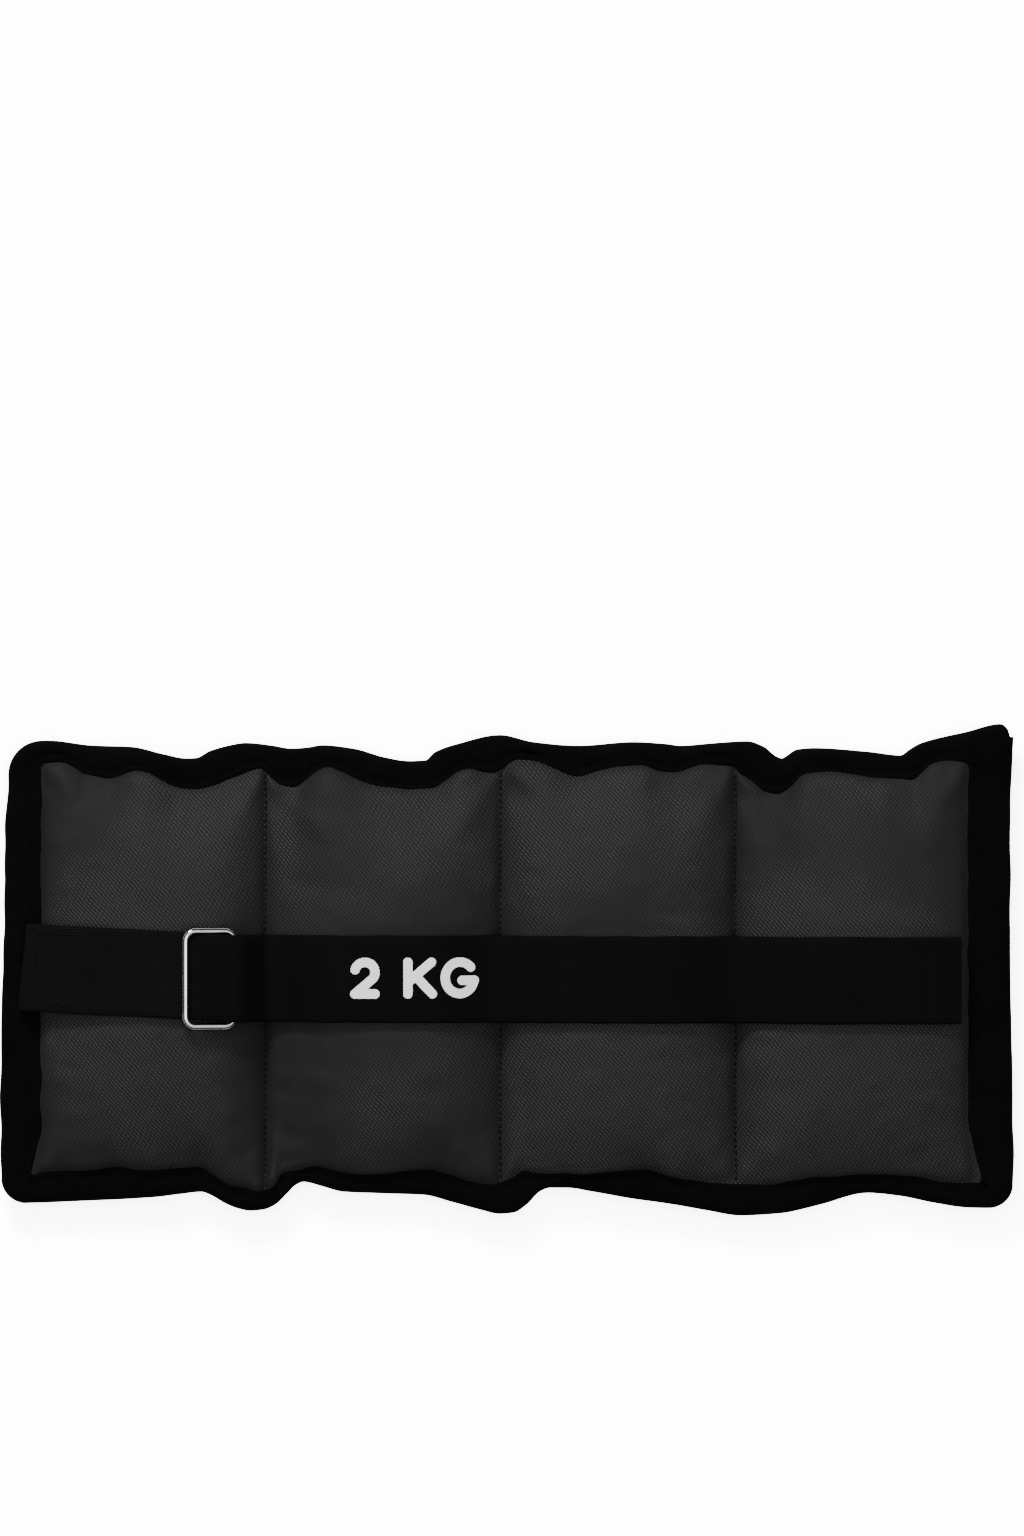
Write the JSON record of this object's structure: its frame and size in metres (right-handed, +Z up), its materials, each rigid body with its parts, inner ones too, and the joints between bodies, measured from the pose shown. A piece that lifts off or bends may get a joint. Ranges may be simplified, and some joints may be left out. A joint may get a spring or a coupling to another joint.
{
  "type": "ankle cuff weight",
  "caption": "Ankle cuff weight laid flat: sand-filled fabric pockets in a row, bound edges, a webbing strap over them and a wire ring that takes the strap.",
  "frame": {"origin": "centre of the cuff's outline on the surface that it lies on", "axes": "+X along the cuff's length, from the ring end to the plain end; +Y across it; +Z up out of the strap side"},
  "size_m": [0.3554, 0.1724, 0.0296],
  "materials": {
    "fabric": "grey-black twill weave",
    "binding": "matte woven binding tape",
    "webbing": "black woven webbing",
    "bag": "plain inner bag",
    "sand": "iron sand",
    "thread": "sewing thread",
    "chrome": "polished wire",
    "hook": "hook tape"
  },
  "bodies": {
    "pocket_b": {"front_panel_b": "fabric", "back_panel_b": "fabric", "inner_bag_b": "bag", "iron_sand_b": "sand", "binding_top_b": "binding", "binding_bottom_b": "binding", "free_strap_b": "webbing", "base_strap_b": "webbing", "seam_thread_ab": "thread"},
    "pocket_a": {"front_panel_a": "fabric", "back_panel_a": "fabric", "inner_bag_a": "bag", "iron_sand_a": "sand", "binding_top_a": "binding", "binding_bottom_a": "binding", "free_strap_a": "webbing", "binding_left": "binding", "ring_loop": "webbing"},
    "pocket_c": {"front_panel_c": "fabric", "back_panel_c": "fabric", "inner_bag_c": "bag", "iron_sand_c": "sand", "binding_top_c": "binding", "binding_bottom_c": "binding", "free_strap_c": "webbing", "base_strap_c": "webbing", "seam_thread_bc": "thread"},
    "pocket_d": {"front_panel_d": "fabric", "back_panel_d": "fabric", "inner_bag_d": "bag", "iron_sand_d": "sand", "binding_top_d": "binding", "binding_bottom_d": "binding", "free_strap_d": "webbing", "base_strap_d": "webbing", "seam_thread_cd": "thread", "strap_end_fold": "webbing", "end_stitch": "thread", "binding_right": "binding"},
    "ring_frame": {"ring": "chrome", "strap_bridge": "webbing"},
    "tail": {"strap_tail": "webbing", "hook_patch": "hook", "tail_stitch": "thread"}
  },
  "joints": [
    {"name": "seam_ab_fold", "type": "hinge", "parent": "pocket_b", "child": "pocket_a", "pos_m": [-0.086, 0, 0.0082], "axis": [0, -1, 0], "range_deg": [0, 86]},
    {"name": "seam_bc_fold", "type": "hinge", "parent": "pocket_b", "child": "pocket_c", "pos_m": [-0.003, 0, 0.0082], "axis": [0, 1, 0], "range_deg": [0, 86]},
    {"name": "seam_cd_fold", "type": "hinge", "parent": "pocket_c", "child": "pocket_d", "pos_m": [0.08, 0, 0.0082], "axis": [0, 1, 0], "range_deg": [0, 86]},
    {"name": "ring_swing", "type": "hinge", "parent": "pocket_a", "child": "ring_frame", "pos_m": [-0.0963, 0, 0.02364], "axis": [0, 1, 0], "range_deg": [0, 60]},
    {"name": "tail_lift", "type": "hinge", "parent": "ring_frame", "child": "tail", "pos_m": [-0.1139, 0, 0.02826], "axis": [0, 1, 0], "range_deg": [0, 100]}
  ]
}
